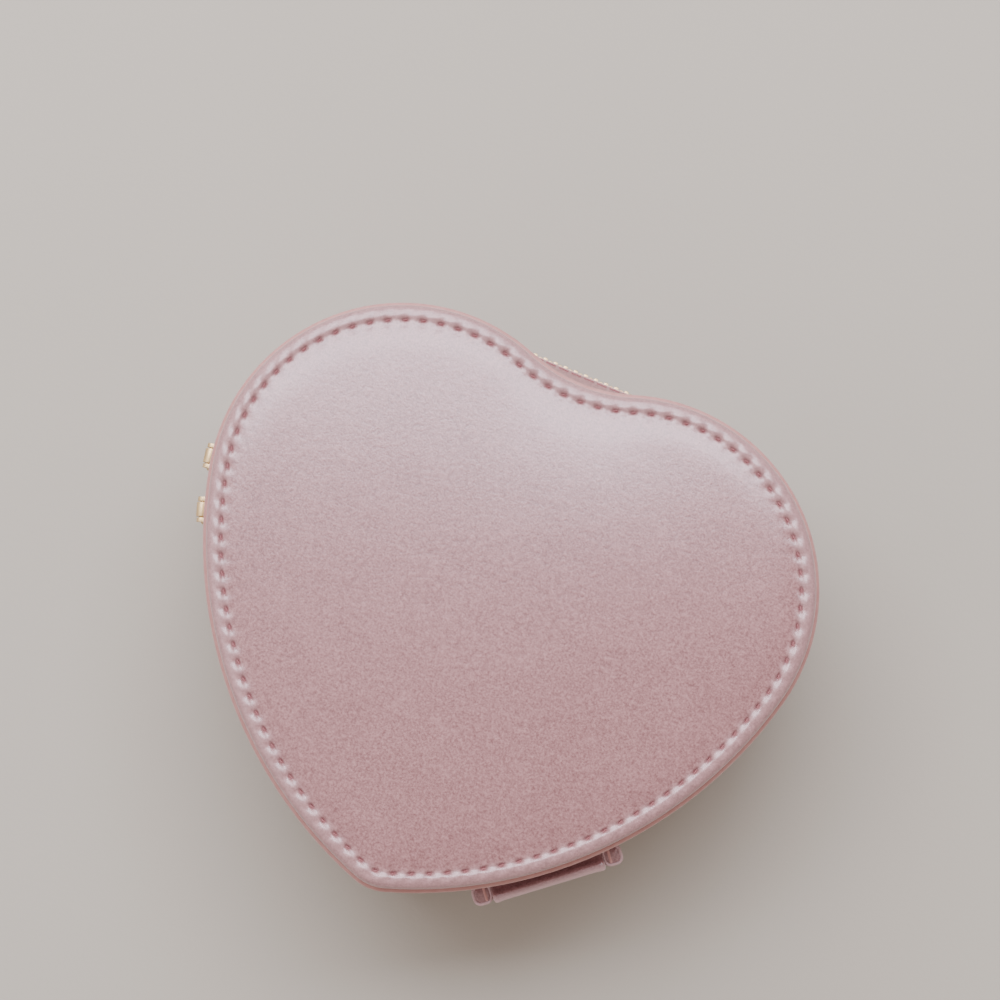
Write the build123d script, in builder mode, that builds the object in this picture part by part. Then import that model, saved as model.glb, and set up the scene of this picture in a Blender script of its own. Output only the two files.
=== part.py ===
from build123d import *

import os
from math import atan2, cos, degrees, radians, sin, sqrt

# Heart-shaped zip-round jewelry case: padded lid and compartment base, closed with a two-slider zip.
os.makedirs("parts", exist_ok=True)

# ---------------------------------------------------------------- driving dimensions (mm)
# The frame: +Z up, the heart's point towards -Y, the origin under its middle on the resting face.

# Heart outline of the panels, from four tangent arcs on each side of the Y axis.
lobe_x = 22.6
lobe_y = 16.6
lobe_radius = 36.4
side_angle = 13.0
side_radius = 84.4
tip_radius = 9.6
panel_notch_radius = 30.6
wall_notch_radius = 2000.0
smallest_tip_radius = 2.5

# Levels from the resting face to the crown of the lid.
zip_height = 33.0
bottom_cover_top = 2.9
base_board_top = 5.0
tape_reach = 5.0
lid_board_bottom = 44.4
lid_board_top = 46.4
lid_cover_bottom = 46.5
crown_height = 52.5
crown_radius = 700.0

# How far each layer stands in from the outline (negative is inwards).
cover_edge = -0.5
board_edge = -1.7
wall_face = -1.2
wall_board_face = -2.0
wall_lining_face = -3.6
inner_face = -4.4
tape_outer = -1.2
tape_inner = -1.9
teeth_outer = -0.8
teeth_inner = -2.3
stitch_inset = -3.2

# Sheet and cord thicknesses.
cover_thickness = 1.0
skin_thickness = 0.8
layer_gap = 0.05
piping_radius = 0.95
piping_inset = -0.7
row_gap = 0.25
teeth_height = 1.2
stitch_width = 0.7
stitch_height = 0.35

# Hinge at the lower right flank.
hinge_direction = -50.5
hinge_reach = 87.4
strap_length = 21.5
strap_inner = 86.1
strap_outer = 87.1
strap_half_height = 9.0
strap_bend = 4.0
strap_wall = 83.5
hinge_cut_depth = 20.0
tab_width = 3.6
tab_outer = 87.0
tab_inner = 83.4
zip_end_gap = 28.5

# Zip sliders and their pulls on the left flank.
slider_length = 9.0
slider_half_height = 3.0
outer_plate = (-0.45, 0.35)
inner_plate = (-3.45, -2.65)
web_length = 2.4
web_thickness = 0.3
web_overlap = 0.2
lower_slider_angle = 198.4
upper_slider_angle = 189.6
lug_radius = 0.95
lug_thickness = 0.8
lug_offset = 2.0
pin_radius = 0.5
pivot_offset = 1.75
knuckle_radius = 1.1
knuckle_width = 2.8
knuckle_clearance = 0.08
pull_length = 17.0
pull_width = 5.0
pull_thickness = 1.0
pull_hole_radius = 1.1
pull_end_rounding = 2.45

# Inside of the base.
floor_pad_thickness = 1.2
divider_thickness = 1.8
divider_height = 17.0
cross_divider_y = 6.4
side_divider_x = 25.0
roll_count = 5
roll_pitch = 7.4
roll_width = 7.0
roll_length = 47.0
roll_height = 12.0
fit_gap = 0.15
divider_gap = 0.45

# Mirror in the lid.
mirror_inset = -13.0
mirror_thickness = 1.8
rim_width = 1.6
rim_thickness = 2.4

# ---------------------------------------------------------------- values worked out from them
base_wall_top = zip_height - tape_reach
lid_wall_bottom = zip_height + tape_reach
floor_top = base_board_top + floor_pad_thickness
side_x = lobe_x - (side_radius - lobe_radius) * cos(radians(side_angle))
side_y = lobe_y + (side_radius - lobe_radius) * sin(radians(side_angle))
hinge_outward = Vector(cos(radians(hinge_direction)), sin(radians(hinge_direction)), 0)
hinge_along = Vector(-hinge_outward.Y, hinge_outward.X, 0)
hinge_centre = Vector(side_x, side_y, 0) + hinge_outward * hinge_reach


# ---------------------------------------------------------------- outline of the heart
def heart_arcs(offset, notch_radius):
    """The eight tangent arcs of the heart, moved outwards by offset, as one closed line."""
    tip = max(tip_radius + offset, smallest_tip_radius)
    lobe = lobe_radius + offset
    side = side_radius + offset
    notch = notch_radius - offset
    tip_y = side_y - sqrt((side - tip) ** 2 - side_x**2)
    notch_y = lobe_y + sqrt((lobe_radius + notch_radius) ** 2 - lobe_x**2)
    tip_end = degrees(atan2(tip_y - side_y, -side_x))
    side_end = degrees(atan2(lobe_y - side_y, lobe_x - side_x))
    lobe_end = degrees(atan2(notch_y - lobe_y, -lobe_x))
    notch_start = lobe_end - 180
    with BuildLine() as heart:
        CenterArc((0, tip_y), tip, -90, tip_end + 90)
        CenterArc((side_x, side_y), side, tip_end, side_end - tip_end)
        CenterArc((lobe_x, lobe_y), lobe, side_end, lobe_end - side_end)
        CenterArc((0, notch_y), notch, notch_start, -90 - notch_start)
        mirror(about=Plane.YZ)
    return heart.line


def heart_sketch(offset, notch_radius=panel_notch_radius):
    """The heart as a filled face."""
    with BuildSketch() as face:
        with BuildLine():
            add(heart_arcs(offset, notch_radius))
        make_face()
    return face.sketch


def ring_sketch(outer, inner, notch_radius=wall_notch_radius):
    """The band between two offsets of the heart."""
    with BuildSketch() as band:
        add(heart_sketch(outer, notch_radius))
        add(heart_sketch(inner, notch_radius), mode=Mode.SUBTRACT)
    return band.sketch


def zip_sketch(outer, inner):
    """The band of one zip half, which stops short of the hinge at both ends."""
    gap_place = Location(hinge_centre, (0, 0, hinge_direction))
    with BuildSketch() as band:
        add(ring_sketch(outer, inner))
        with Locations(gap_place):
            Rectangle(hinge_cut_depth, zip_end_gap, mode=Mode.SUBTRACT)
    return band.sketch


def piping_path(height):
    """The closed line of the piping's core at one height."""
    return heart_sketch(piping_inset).face().outer_wire().moved(Location((0, 0, height)))


def keep(piece, name):
    """Label a finished piece and write its file."""
    piece.part.label = name
    export_step(piece.part, f"parts/{name}.step")


# ---------------------------------------------------------------- base: bottom panel
# The bottom cover is a shallow dish of the same cloth as the lid, closed over a thin pad.
with BuildPart() as base_bottom_cover:
    with BuildSketch():
        add(heart_sketch(cover_edge))
    extrude(amount=bottom_cover_top)
    fillet(base_bottom_cover.faces().sort_by(Axis.Z)[0].edges(), radius=cover_thickness)
    with BuildSketch(Plane.XY.offset(skin_thickness)):
        add(heart_sketch(cover_edge - cover_thickness))
    extrude(amount=bottom_cover_top, mode=Mode.SUBTRACT)
keep(base_bottom_cover, "base_bottom_cover")

with BuildPart() as base_bottom_pad:
    with BuildSketch(Plane.XY.offset(skin_thickness + layer_gap)):
        add(heart_sketch(cover_edge - cover_thickness - layer_gap))
    extrude(amount=bottom_cover_top - skin_thickness - layer_gap)
keep(base_bottom_pad, "base_bottom_pad")

# The bottom board stiffens the case, and the piping runs round its edge.
with BuildPart() as base_bottom_board:
    with BuildSketch(Plane.XY.offset(bottom_cover_top + layer_gap)):
        add(heart_sketch(board_edge))
    extrude(amount=base_board_top - bottom_cover_top - layer_gap)
keep(base_bottom_board, "base_bottom_board")

base_piping_height = (bottom_cover_top + base_board_top) / 2
with BuildPart() as base_piping:
    base_core = piping_path(base_piping_height)
    with BuildSketch(Plane(origin=base_core @ 0, z_dir=base_core % 0)):
        Circle(piping_radius)
    sweep(path=base_core)
keep(base_piping, "base_piping")


# ---------------------------------------------------------------- base: walls
# The zip runs almost straight across the notch. The walls lean in from it to the edges of both panels.
def wall_block(offset, panel_level, zip_level):
    """A heart block whose notch deepens from the zip's at one level to the panel's at the other."""
    with BuildPart() as block:
        with BuildSketch(Plane.XY.offset(panel_level)):
            add(heart_sketch(offset))
        with BuildSketch(Plane.XY.offset(zip_level)):
            add(heart_sketch(offset, wall_notch_radius))
        loft(ruled=True)
    return block


def wall_layer(outer, inner, panel_level, zip_level):
    """One layer of a wall, from a panel's level to the zip tape's."""
    with BuildPart() as layer:
        add(wall_block(outer, panel_level, zip_level).part)
        add(wall_block(inner, panel_level, zip_level).part, mode=Mode.SUBTRACT)
    return layer


base_wall_bottom = base_board_top + layer_gap
base_wall_board = wall_layer(wall_board_face, wall_lining_face + layer_gap, base_wall_bottom, base_wall_top)
keep(base_wall_board, "base_wall_board")

base_wall_cover = wall_layer(wall_face, wall_board_face + layer_gap, base_wall_bottom, base_wall_top)
keep(base_wall_cover, "base_wall_cover")

base_wall_lining = wall_layer(wall_lining_face, inner_face, base_wall_bottom, base_wall_top)
keep(base_wall_lining, "base_wall_lining")

# ---------------------------------------------------------------- base: compartments
with BuildPart() as base_floor_pad:
    with BuildSketch(Plane.XY.offset(base_wall_bottom)):
        add(heart_sketch(inner_face - 2 * fit_gap))
    extrude(amount=floor_pad_thickness - layer_gap)
keep(base_floor_pad, "base_floor_pad")


def divider(centre_x, centre_y, size_x, size_y):
    """An upright divider board, trimmed to the inside of the heart wall."""
    with BuildPart() as board:
        with BuildSketch(Plane.XY.offset(floor_top)):
            with Locations((centre_x, centre_y)):
                Rectangle(size_x, size_y)
            add(heart_sketch(inner_face - divider_gap, wall_notch_radius), mode=Mode.INTERSECT)
        extrude(amount=divider_height)
        fillet(board.faces().sort_by(Axis.Z)[-1].edges(), radius=divider_thickness / 3)
    return board


divider_reach = 4 * lobe_radius
cross_divider = divider(0, cross_divider_y, divider_reach, divider_thickness)
keep(cross_divider, "cross_divider")

lower_edge = cross_divider_y - divider_thickness / 2 - fit_gap
centre_divider = divider(0, lower_edge - divider_reach / 2, divider_thickness, divider_reach)
keep(centre_divider, "centre_divider")

upper_edge = cross_divider_y + divider_thickness / 2 + fit_gap
for side_name, side_sign in (("left", -1), ("right", 1)):
    side_divider = divider(
        side_sign * side_divider_x, upper_edge + divider_reach / 2, divider_thickness, divider_reach
    )
    keep(side_divider, f"side_divider_{side_name}")

# Ring rolls: soft bolsters lying side by side, which grip ring bands in the slots between them.
for roll_index in range(roll_count):
    roll_y = upper_edge + roll_pitch * (roll_index + 0.5)
    with BuildPart() as ring_roll:
        with BuildSketch(Plane.YZ.offset(-roll_length / 2)):
            with Locations((roll_y, floor_top + (roll_height - roll_width / 2) / 2)):
                Rectangle(roll_width, roll_height - roll_width / 2)
            with Locations((roll_y, floor_top + roll_height - roll_width / 2)):
                Circle(roll_width / 2)
        extrude(amount=roll_length)
    keep(ring_roll, f"ring_roll_{roll_index + 1}")


# ---------------------------------------------------------------- zip tapes and teeth
def zip_layer(outer, inner, bottom, top):
    """One band of a zip half, from one level to another."""
    with BuildPart() as layer:
        with BuildSketch(Plane.XY.offset(bottom)):
            add(zip_sketch(outer, inner))
        extrude(amount=top - bottom)
    return layer


teeth_reach = row_gap + teeth_height
base_zip_tape = zip_layer(tape_outer, tape_inner, base_wall_top + layer_gap, zip_height - teeth_reach)
keep(base_zip_tape, "base_zip_tape")

base_zip_teeth = zip_layer(
    teeth_outer, teeth_inner, zip_height - teeth_reach + layer_gap, zip_height - row_gap
)
keep(base_zip_teeth, "base_zip_teeth")

lid_zip_tape = zip_layer(tape_outer, tape_inner, zip_height + teeth_reach, lid_wall_bottom - layer_gap)
keep(lid_zip_tape, "lid_zip_tape")

lid_zip_teeth = zip_layer(
    teeth_outer, teeth_inner, zip_height + row_gap, zip_height + teeth_reach - layer_gap
)
keep(lid_zip_teeth, "lid_zip_teeth")

# ---------------------------------------------------------------- lid: walls
lid_wall_top = lid_board_bottom - layer_gap
lid_wall_board = wall_layer(wall_board_face, wall_lining_face + layer_gap, lid_wall_top, lid_wall_bottom)
keep(lid_wall_board, "lid_wall_board")

lid_wall_cover = wall_layer(wall_face, wall_board_face + layer_gap, lid_wall_top, lid_wall_bottom)
keep(lid_wall_cover, "lid_wall_cover")

lid_wall_lining = wall_layer(wall_lining_face, inner_face, lid_wall_top, lid_wall_bottom)
keep(lid_wall_lining, "lid_wall_lining")

# ---------------------------------------------------------------- lid: top panel
with BuildPart() as lid_top_board:
    with BuildSketch(Plane.XY.offset(lid_board_bottom)):
        add(heart_sketch(board_edge))
    extrude(amount=lid_board_top - lid_board_bottom)
keep(lid_top_board, "lid_top_board")

lid_piping_height = (lid_board_bottom + lid_board_top) / 2
with BuildPart() as lid_piping:
    lid_core = piping_path(lid_piping_height)
    with BuildSketch(Plane(origin=lid_core @ 0, z_dir=lid_core % 0)):
        Circle(piping_radius)
    sweep(path=lid_core)
keep(lid_piping, "lid_piping")


def crowned_block(offset, bottom, drop):
    """A heart block whose top is part of the crown's sphere, lowered by drop."""
    with BuildPart() as block:
        with BuildSketch(Plane.XY.offset(bottom)):
            add(heart_sketch(offset))
        extrude(amount=crown_height - bottom)
        with Locations((0, 0, crown_height - crown_radius)):
            Sphere(crown_radius - drop, mode=Mode.INTERSECT)
    return block


foam_bottom = lid_board_top + layer_gap
cover_inner_block = crowned_block(cover_edge - cover_thickness, lid_cover_bottom, cover_thickness)
with BuildPart() as lid_top_cover:
    add(crowned_block(cover_edge, lid_cover_bottom, 0).part)
    fillet(lid_top_cover.faces().sort_by(Axis.Z)[-1].edges(), radius=cover_thickness)
    add(cover_inner_block.part, mode=Mode.SUBTRACT)
keep(lid_top_cover, "lid_top_cover")

lid_foam_pad = crowned_block(
    cover_edge - cover_thickness - layer_gap, foam_bottom, cover_thickness + layer_gap
)
keep(lid_foam_pad, "lid_foam_pad")

# The saddle stitching lies in the crown, a little way in from the edge.
with BuildPart() as lid_stitching:
    with BuildSketch(Plane.XY.offset(lid_cover_bottom)):
        add(ring_sketch(stitch_inset + stitch_width / 2, stitch_inset - stitch_width / 2, panel_notch_radius))
    extrude(amount=crown_height - lid_cover_bottom)
    with Locations((0, 0, crown_height - crown_radius)):
        Sphere(crown_radius + stitch_height, mode=Mode.INTERSECT)
    with Locations((0, 0, crown_height - crown_radius)):
        Sphere(crown_radius + layer_gap, mode=Mode.SUBTRACT)
keep(lid_stitching, "lid_stitching")

# ---------------------------------------------------------------- lid: lining and mirror
lining_bottom = lid_board_bottom - layer_gap - skin_thickness
with BuildPart() as lid_top_lining:
    with BuildSketch(Plane.XY.offset(lining_bottom)):
        add(heart_sketch(inner_face - 2 * fit_gap))
    extrude(amount=skin_thickness)
keep(lid_top_lining, "lid_top_lining")

mirror_back = lining_bottom - layer_gap
with BuildPart() as mirror_glass:
    with BuildSketch(Plane.XY.offset(mirror_back - mirror_thickness)):
        add(heart_sketch(mirror_inset))
    extrude(amount=mirror_thickness)
keep(mirror_glass, "mirror_glass")

with BuildPart() as mirror_rim:
    with BuildSketch(Plane.XY.offset(mirror_back - rim_thickness)):
        add(ring_sketch(mirror_inset + rim_width, mirror_inset + layer_gap, panel_notch_radius))
    extrude(amount=rim_thickness)
    fillet(mirror_rim.faces().sort_by(Axis.Z)[0].edges(), radius=rim_width / 3)
keep(mirror_rim, "mirror_rim")

# ---------------------------------------------------------------- cloth hinge at the lower right flank
# Seen from its end the strap is a shallow C: a flat spine with two legs that run back to the walls.
side_centre = Vector(side_x, side_y, 0)
strap_plane = Plane(
    origin=side_centre - hinge_along * (strap_length / 2), x_dir=hinge_outward, z_dir=hinge_along
)


def strap_profile(wall, inner, outer, half_height, bend):
    """The C outline in the strap plane: distance from the flank's centre against height."""
    knee = half_height - bend
    points = [
        (wall, half_height),
        (outer, knee),
        (outer, -knee),
        (wall, -half_height),
        (wall, -half_height + (outer - inner)),
        (inner, -knee + (outer - inner) / 3),
        (inner, knee - (outer - inner) / 3),
        (wall, half_height - (outer - inner)),
    ]
    return [(distance, -zip_height - height) for distance, height in points]


with BuildPart() as hinge_strap:
    with BuildSketch(strap_plane):
        with BuildLine():
            Polyline(
                *strap_profile(strap_wall, strap_inner, strap_outer, strap_half_height, strap_bend),
                close=True,
            )
        make_face()
    extrude(amount=strap_length)
keep(hinge_strap, "hinge_strap")

# The lining behind the hinge closes the gap between the two walls on the inside.
with BuildPart() as hinge_lining:
    with BuildSketch(Plane.XY.offset(base_wall_top + layer_gap)):
        add(ring_sketch(wall_board_face - layer_gap, wall_board_face - skin_thickness))
        with Locations(Location(hinge_centre, (0, 0, hinge_direction))):
            Rectangle(hinge_cut_depth, zip_end_gap - 2 * fit_gap, mode=Mode.INTERSECT)
    extrude(amount=lid_wall_bottom - base_wall_top - 2 * layer_gap)
keep(hinge_lining, "hinge_lining")


def end_tabs(bottom, top):
    """The two folded cloth tabs that bind the ends of one zip half."""
    tab_depth = tab_outer - tab_inner
    tab_distance = (tab_outer + tab_inner) / 2
    with BuildPart() as tabs:
        with BuildSketch(Plane.XY.offset(bottom)):
            for end in (-1, 1):
                along = end * (strap_length / 2 + fit_gap + tab_width / 2)
                centre = side_centre + hinge_outward * tab_distance + hinge_along * along
                with Locations(Location(centre, (0, 0, hinge_direction))):
                    RectangleRounded(tab_depth, tab_width, tab_width / 3)
        extrude(amount=top - bottom)
    return tabs


base_zip_end_tabs = end_tabs(zip_height - tape_reach, zip_height - row_gap)
keep(base_zip_end_tabs, "base_zip_end_tabs")

lid_zip_end_tabs = end_tabs(zip_height + row_gap, zip_height + tape_reach)
keep(lid_zip_end_tabs, "lid_zip_end_tabs")


# ---------------------------------------------------------------- zip sliders and pulls
# Each slider rides the teeth along one arc of the left flank, with a plate on each face of the tape.
def pull_pivot(centre_x, centre_y, arc_radius, angle):
    """The plane across a pull's pin: X points out of the case and Z runs along the pin."""
    outward = Vector(cos(radians(angle)), sin(radians(angle)), 0)
    pivot = Vector(centre_x, centre_y, zip_height) + outward * (arc_radius + pivot_offset)
    return Plane(origin=pivot, x_dir=outward, z_dir=Vector(-outward.Y, outward.X, 0))


def slider_body(centre_x, centre_y, arc_radius, angle, web_side):
    """A zip slider: two plates, the thin web between the tooth rows, and the pull's lugs and pin."""
    place = Location((centre_x, centre_y, 0), (0, 0, angle))
    pivot_plane = pull_pivot(centre_x, centre_y, arc_radius, angle)
    with BuildPart() as slider:
        for plate_inner, plate_outer in (outer_plate, inner_plate):
            with BuildSketch(Plane.XY.offset(zip_height - slider_half_height)):
                with Locations((centre_x, centre_y)):
                    Circle(arc_radius + plate_outer)
                    Circle(arc_radius + plate_inner, mode=Mode.SUBTRACT)
                with Locations(place * Location((arc_radius, 0, 0))):
                    Rectangle(2 * slider_length, slider_length, mode=Mode.INTERSECT)
            extrude(amount=2 * slider_half_height)
        with BuildSketch(Plane.XY.offset(zip_height - web_thickness / 2)):
            web_y = web_side * (slider_length - web_length) / 2
            web_x = arc_radius + (outer_plate[0] + inner_plate[1]) / 2
            with Locations(place * Location((web_x, web_y, 0))):
                Rectangle(outer_plate[0] - inner_plate[1] + 2 * web_overlap, web_length)
        extrude(amount=web_thickness)
        for side in (-1, 1):
            with BuildSketch(pivot_plane.offset(side * lug_offset - lug_thickness / 2)):
                Circle(lug_radius)
                with Locations((-lug_radius, 0)):
                    Rectangle(2 * lug_radius, 2 * lug_radius)
            extrude(amount=lug_thickness)
        with BuildSketch(pivot_plane.offset(-lug_offset)):
            Circle(pin_radius)
        extrude(amount=2 * lug_offset)
    return slider


def pull_tab(centre_x, centre_y, arc_radius, angle):
    """A pull: a knuckle round the slider's pin, and a flat tab that hangs from it."""
    pivot_plane = pull_pivot(centre_x, centre_y, arc_radius, angle)
    back_face = pivot_plane.origin - pivot_plane.x_dir * (pull_thickness / 2)
    face_plane = Plane(origin=back_face, x_dir=pivot_plane.z_dir, z_dir=pivot_plane.x_dir)
    tab_end = pull_length - pull_width / 2
    with BuildPart() as pull:
        with BuildSketch(face_plane):
            with Locations((0, -tab_end / 4 - knuckle_radius / 2)):
                Rectangle(knuckle_width, tab_end / 2)
            with Locations((0, -tab_end / 2 - knuckle_radius)):
                RectangleRounded(pull_width, tab_end / 2 + pull_width, pull_end_rounding)
            with Locations((0, -tab_end / 2 - 2 * knuckle_radius)):
                Circle(pull_hole_radius, mode=Mode.SUBTRACT)
        extrude(amount=pull_thickness)
        with BuildSketch(pivot_plane.offset(-knuckle_width / 2)):
            Circle(knuckle_radius)
        extrude(amount=knuckle_width)
        with BuildSketch(pivot_plane.offset(-knuckle_width / 2)):
            Circle(pin_radius + knuckle_clearance)
        extrude(amount=knuckle_width, mode=Mode.SUBTRACT)
    return pull


slider_lower = slider_body(-side_x, side_y, side_radius, lower_slider_angle, -1)
keep(slider_lower, "slider_lower")

slider_upper = slider_body(-lobe_x, lobe_y, lobe_radius, upper_slider_angle, 1)
keep(slider_upper, "slider_upper")

pull_lower = pull_tab(-side_x, side_y, side_radius, lower_slider_angle)
keep(pull_lower, "pull_lower")

pull_upper = pull_tab(-lobe_x, lobe_y, lobe_radius, upper_slider_angle)
keep(pull_upper, "pull_upper")
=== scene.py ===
import math

import bmesh
import bpy
import numpy as np
from mathutils import Matrix, Vector


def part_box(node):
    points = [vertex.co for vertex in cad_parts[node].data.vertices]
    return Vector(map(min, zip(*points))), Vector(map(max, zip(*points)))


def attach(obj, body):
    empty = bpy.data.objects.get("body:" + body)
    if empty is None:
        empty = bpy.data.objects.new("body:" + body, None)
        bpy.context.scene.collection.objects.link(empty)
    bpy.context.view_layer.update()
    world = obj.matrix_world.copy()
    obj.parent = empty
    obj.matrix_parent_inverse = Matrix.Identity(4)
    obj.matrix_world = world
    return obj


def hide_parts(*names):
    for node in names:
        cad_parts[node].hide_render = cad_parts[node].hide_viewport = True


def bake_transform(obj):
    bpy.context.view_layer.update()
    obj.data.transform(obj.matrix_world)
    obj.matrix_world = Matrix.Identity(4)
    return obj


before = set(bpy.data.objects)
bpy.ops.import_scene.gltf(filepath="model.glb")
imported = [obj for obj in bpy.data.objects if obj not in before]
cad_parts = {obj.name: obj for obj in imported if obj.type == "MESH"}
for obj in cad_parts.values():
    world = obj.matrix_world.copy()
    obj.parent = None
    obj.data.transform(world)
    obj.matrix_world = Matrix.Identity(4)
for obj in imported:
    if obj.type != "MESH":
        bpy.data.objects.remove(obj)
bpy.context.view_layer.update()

MM = 0.001

# ---------------------------------------------------------------- table, camera and light
# The case lies on a plain, pale, matt table top, seen from almost straight above, with the heart
# turned clockwise. Soft window light comes from the far side, past the lobes, and a weak fill from the left.
HEART_TURN = math.radians(22.7)
VIEW_HEIGHT = math.radians(86.0)
VIEW_DISTANCE = 0.600
FOCAL_MM = 115.9
NEAREST_SEEN = 0.01
far_side = Vector((-math.sin(HEART_TURN), math.cos(HEART_TURN), 0.0))
right_side = Vector((math.cos(HEART_TURN), math.sin(HEART_TURN), 0.0))
up = Vector((0.0, 0.0, 1.0))
aim = Vector((-5.2, 22.8, 50.0)) * MM

camera_data = bpy.data.cameras.new("studio_camera")
camera_data.lens = FOCAL_MM
camera_data.clip_start = NEAREST_SEEN
camera = bpy.data.objects.new("studio_camera", camera_data)
bpy.context.scene.collection.objects.link(camera)
back_axis = up * math.sin(VIEW_HEIGHT) - far_side * math.cos(VIEW_HEIGHT)
up_axis = far_side * math.sin(VIEW_HEIGHT) + up * math.cos(VIEW_HEIGHT)
turned = Matrix((up_axis.cross(back_axis), up_axis, back_axis)).transposed()
camera.matrix_world = Matrix.Translation(aim + back_axis * VIEW_DISTANCE) @ turned.to_4x4()
bpy.context.scene.camera = camera


def soft_box(name, towards, distance, size, watts, colour):
    """A rectangular lamp above the case, aimed at it from the direction given."""
    lamp = bpy.data.lights.new(name, "AREA")
    lamp.shape = "RECTANGLE"
    lamp.size, lamp.size_y = size
    lamp.energy = watts
    lamp.color = colour
    holder = bpy.data.objects.new(name, lamp)
    bpy.context.scene.collection.objects.link(holder)
    holder.location = aim + towards.normalized() * distance
    holder.rotation_euler = towards.to_track_quat("Z", "Y").to_euler()


LAMPS = (
    ("window_light", 0.46, -0.04, 1.2, (1.5, 0.42), 24.5, (0.935, 0.945, 1.0)),
    ("low_window_light", 1.5, -0.2, 1.2, (1.3, 0.4), 15.0, (0.945, 0.950, 1.0)),
    ("fill_light", -0.2, -1.3, 1.5, (1.5, 1.0), 5.5, (1.0, 0.95, 0.93)),
)
for name, far, right, distance, size, watts, colour in LAMPS:
    soft_box(name, far_side * far + right_side * right + up, distance, size, watts, colour)
ROOM_COLOUR, ROOM_STRENGTH = (1.0, 0.86, 0.77, 1.0), 0.80
world = bpy.data.worlds.new("studio_world")
world.use_nodes = True
room_light = world.node_tree.nodes["Background"].inputs
room_light["Color"].default_value = ROOM_COLOUR
room_light["Strength"].default_value = ROOM_STRENGTH
bpy.context.scene.world = world


class Number:
    """A value in a finish that adds Math nodes when it is used in a sum."""

    def __init__(self, finish, socket):
        self.finish, self.socket = finish, socket

    def sum(self, operation, first, second):
        return self.finish.node("ShaderNodeMath", {"operation": operation}, {0: first, 1: second})

    def __add__(self, other):
        return self.sum("ADD", self, other)

    def __sub__(self, other):
        return self.sum("SUBTRACT", self, other)

    def __rsub__(self, other):
        return self.sum("SUBTRACT", other, self)

    def __mul__(self, other):
        return self.sum("MULTIPLY", self, other)

    def __truediv__(self, other):
        return self.sum("DIVIDE", self, other)

    def __pow__(self, other):
        return self.sum("POWER", self, other)

    __radd__ = __add__
    __rmul__ = __mul__


class Finish:
    """One material: a surface shader and the nodes that feed it."""

    def __init__(self, name, **constants):
        self.material = bpy.data.materials.new(name)
        self.material.use_nodes = True
        self.nodes = self.material.node_tree.nodes
        self.links = self.material.node_tree.links
        self.surface = self.nodes["Principled BSDF"]
        for socket, value in constants.items():
            self.surface.inputs[socket.replace("_", " ")].default_value = value

    def node(self, kind, settings=(), sockets=(), output=0):
        made = self.nodes.new(kind)
        for setting, value in dict(settings).items():
            if setting == "stops":
                while len(made.color_ramp.elements) < len(value):
                    made.color_ramp.elements.new(1.0)
                for stop, (place, shade) in zip(made.color_ramp.elements, value):
                    stop.position, stop.color = place, (*shade, 1.0)
            else:
                setattr(made, setting, value)
        for socket, value in dict(sockets).items():
            if isinstance(value, Number):
                self.links.new(value.socket, made.inputs[socket])
            else:
                made.inputs[socket].default_value = value
        return Number(self, made.outputs[output])

    def place(self, output="Object"):
        return self.node("ShaderNodeTexCoord", output=output)

    def noise(self, scale, detail=3.0, roughness=0.5, place=None, stretch=None):
        where = place or self.place()
        if stretch:
            where = self.node("ShaderNodeMapping", sockets={"Vector": where, "Scale": stretch})
        sockets = {"Vector": where, "Scale": scale, "Detail": detail, "Roughness": roughness}
        return self.node("ShaderNodeTexNoise", sockets=sockets)

    def mark(self, name):
        return self.node("ShaderNodeAttribute", {"attribute_name": name}, output="Fac")

    def mix(self, share, first, second):
        made = self.nodes.new("ShaderNodeMix")
        made.data_type, made.clamp_factor = "RGBA", True
        for socket, value in ((made.inputs[0], share), (made.inputs[6], first), (made.inputs[7], second)):
            if isinstance(value, Number):
                self.links.new(value.socket, socket)
            else:
                socket.default_value = value if isinstance(value, float) else (*value[:3], 1.0)
        return Number(self, made.outputs[2])

    def feed(self, socket, value):
        self.links.new(value.socket, self.surface.inputs[socket])

    def bump(self, height, distance, strength=1.0):
        sockets = {"Height": height, "Distance": distance, "Strength": strength}
        self.feed("Normal", self.node("ShaderNodeBump", sockets=sockets))


def new_piece(name, verts, faces, finish, smooth=True):
    """A mesh object at the origin with one finish."""
    mesh = bpy.data.meshes.new(name)
    mesh.from_pydata([tuple(v) for v in verts], [], [tuple(f) for f in faces])
    mesh.update()
    mesh.polygons.foreach_set("use_smooth", [smooth] * len(mesh.polygons))
    mesh.materials.append(finish.material)
    piece = bpy.data.objects.new(name, mesh)
    bpy.context.scene.collection.objects.link(piece)
    return piece


TABLE_HALF = 3.0
table_finish = Finish("table_paint", Roughness=0.75)
table_cloud = table_finish.noise(6.0, 4.0)
table_grain = table_finish.noise(900.0, 3.0)
table_tone = table_finish.mix(table_cloud, (0.338, 0.308, 0.272), (0.386, 0.359, 0.319))
table_finish.feed("Base Color", table_finish.mix(table_grain * 0.25, table_tone, (0.36, 0.34, 0.31)))
table_finish.bump(table_grain, 0.0001, 0.3)
table_corners = [(TABLE_HALF * x, TABLE_HALF * y, 0.0) for x, y in ((-1, -1), (1, -1), (1, 1), (-1, 1))]
table_top = new_piece("table_top", table_corners, [(0, 1, 2, 3)], table_finish)

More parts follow.
